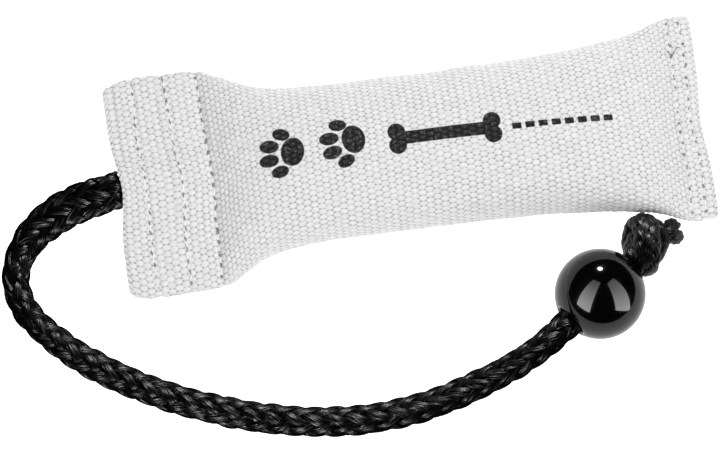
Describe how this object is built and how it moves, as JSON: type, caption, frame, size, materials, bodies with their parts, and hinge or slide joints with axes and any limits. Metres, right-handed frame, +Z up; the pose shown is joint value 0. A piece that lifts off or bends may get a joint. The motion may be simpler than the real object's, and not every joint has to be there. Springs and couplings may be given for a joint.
{
  "type": "training bumper",
  "caption": "Plump woven fire-hose retrieving bumper with flat stitched ends, a black braided throw rope sewn into one end, and a glossy throwing bead held on by a knot.",
  "frame": {"origin": "under the middle of the bumper, on the surface that it lies on", "axes": "+X along the bumper away from the end where the rope leaves, +Y across it away from the throw rope's bead, +Z up through its thickness"},
  "size_m": [0.296, 0.1585, 0.0432],
  "materials": {
    "canvas": "coarse plain-woven off-white hose canvas, matte",
    "foam": "matte closed-cell foam",
    "rope_fibre": "black hollow-braided polypropylene filament, satin",
    "bead_plastic": "polished black plastic",
    "thread": "bonded polyester sewing thread"
  },
  "bodies": {
    "bumper": {"hose_sleeve": "canvas", "foam_core": "foam", "rope_tail": "rope_fibre", "rope": "rope_fibre", "stopper_knot": "rope_fibre", "rope_end": "rope_fibre", "seam_a_needle_thread": "thread", "seam_a_bobbin_thread": "thread", "seam_b_needle_thread": "thread", "seam_b_bobbin_thread": "thread", "seam_c_needle_thread": "thread", "seam_c_bobbin_thread": "thread", "seam_d_needle_thread": "thread", "seam_d_bobbin_thread": "thread", "seam_e_needle_thread": "thread", "seam_e_bobbin_thread": "thread"},
    "bead": {"bead": "bead_plastic"}
  },
  "joints": [
    {"name": "bead_slide", "type": "slide", "parent": "bumper", "child": "bead", "axis": [-0.8189, -0.5739, 0], "range_m": [0, 0.015]}
  ]
}
